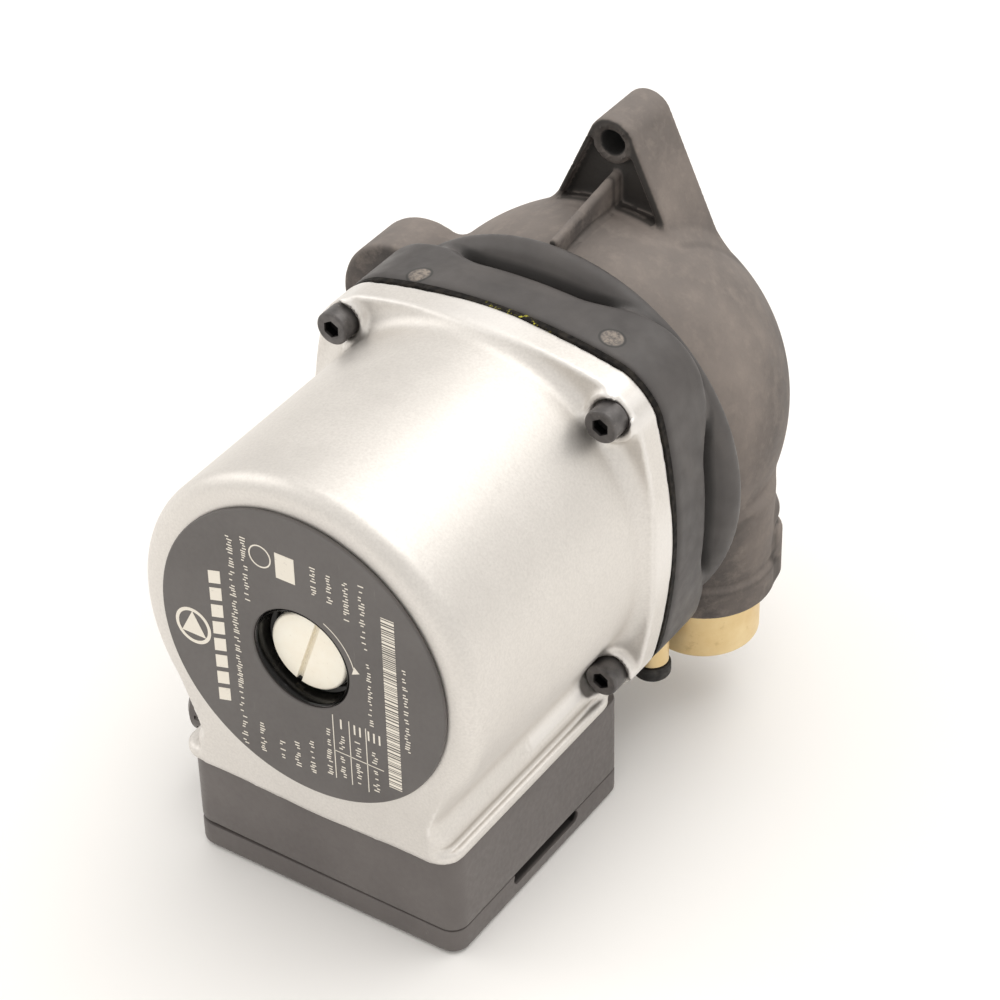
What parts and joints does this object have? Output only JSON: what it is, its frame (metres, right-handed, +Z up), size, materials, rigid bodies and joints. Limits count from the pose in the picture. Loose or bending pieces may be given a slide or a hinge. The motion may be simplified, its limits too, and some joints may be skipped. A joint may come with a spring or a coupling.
{
  "type": "circulator pump",
  "caption": "Wet-rotor circulator with a cast motor, vent plug, composite head, domed air separator with fixing ear, brass inlet and terminal box.",
  "frame": {"origin": "centre of the terminal box cover's outer face, below the motor axis", "axes": "+Y along the motor axis from the name plate to the air separator dome, +Z up from the terminal box to the motor axis, +X to the inlet side"},
  "size_m": [0.1154, 0.17, 0.15],
  "materials": {
    "cast_aluminium": "satin cast",
    "plate_print": "satin with pale print",
    "black_moulding": "gloss black",
    "plug_nickel": "satin nickel",
    "rubber": "matte",
    "steel": "bright",
    "laminations": "stacked sheet",
    "copper": "enamelled wire",
    "ceramic": "ground ceramic",
    "carbon": "matte",
    "impeller_plastic": "moulded",
    "head_composite": "moulded, dusty",
    "dome_composite": "moulded, stained",
    "brass": "dull",
    "black_screw": "black oxide",
    "box_plastic": "fine texture",
    "terminal_plastic": "moulded",
    "capacitor_shell": "moulded"
  },
  "bodies": {
    "pump_body": {"motor_housing": "cast_aluminium", "nameplate": "plate_print", "vent_seat_ring": "black_moulding", "stator_core": "laminations", "stator_winding": "copper", "rotor_can": "steel", "front_bearing_carrier": "rubber", "front_bearing": "ceramic", "rear_bearing": "ceramic", "bearing_plate": "steel", "flange_gasket": "rubber", "plate_o_ring": "rubber", "pump_head": "head_composite", "wear_ring": "steel", "air_separator": "dome_composite", "inlet_socket": "brass", "sensor_stub": "brass", "stub_cap": "rubber", "flange_screw_1": "black_screw", "flange_screw_2": "black_screw", "flange_screw_3": "black_screw", "flange_screw_4": "black_screw", "terminal_box_base": "box_plastic", "terminal_block": "terminal_plastic", "capacitor": "capacitor_shell", "selector_switch": "black_moulding", "box_screw_right": "steel", "box_screw_left": "steel", "gland_body": "black_moulding", "gland_nut": "black_moulding", "gland_seal": "rubber"},
    "rotor": {"shaft": "ceramic", "rotor_core": "steel", "thrust_ring": "carbon", "impeller": "impeller_plastic"},
    "plug_seal": {"vent_plug_o_ring": "rubber"},
    "plug": {"vent_plug": "plug_nickel"},
    "cover": {"terminal_box_cover": "box_plastic"},
    "selector": {"speed_selector": "black_moulding"}
  },
  "joints": [
    {"name": "rotor_spin", "type": "hinge", "parent": "pump_body", "child": "rotor", "pos_m": [0, 0.01, 0.077], "axis": [0, 1, 0], "continuous": true},
    {"name": "plug_travel", "type": "slide", "parent": "pump_body", "child": "plug_seal", "axis": [0, -1, 0], "range_m": [0, 0.0045]},
    {"name": "plug_turn", "type": "hinge", "parent": "plug_seal", "child": "plug", "pos_m": [0, -0.033, 0.077], "axis": [0, -1, 0], "range_deg": [0, 1080]},
    {"name": "cover_off", "type": "slide", "parent": "pump_body", "child": "cover", "axis": [0, 0, -1], "range_m": [0, 0.03]},
    {"name": "speed_select", "type": "hinge", "parent": "pump_body", "child": "selector", "pos_m": [-0.017, 0.01, 0.004], "axis": [0, 0, -1], "range_deg": [0, 90]}
  ],
  "couplings": [
    {"joint": "plug_travel", "follows": "plug_turn", "m_per_rad": 0.00023873}
  ]
}
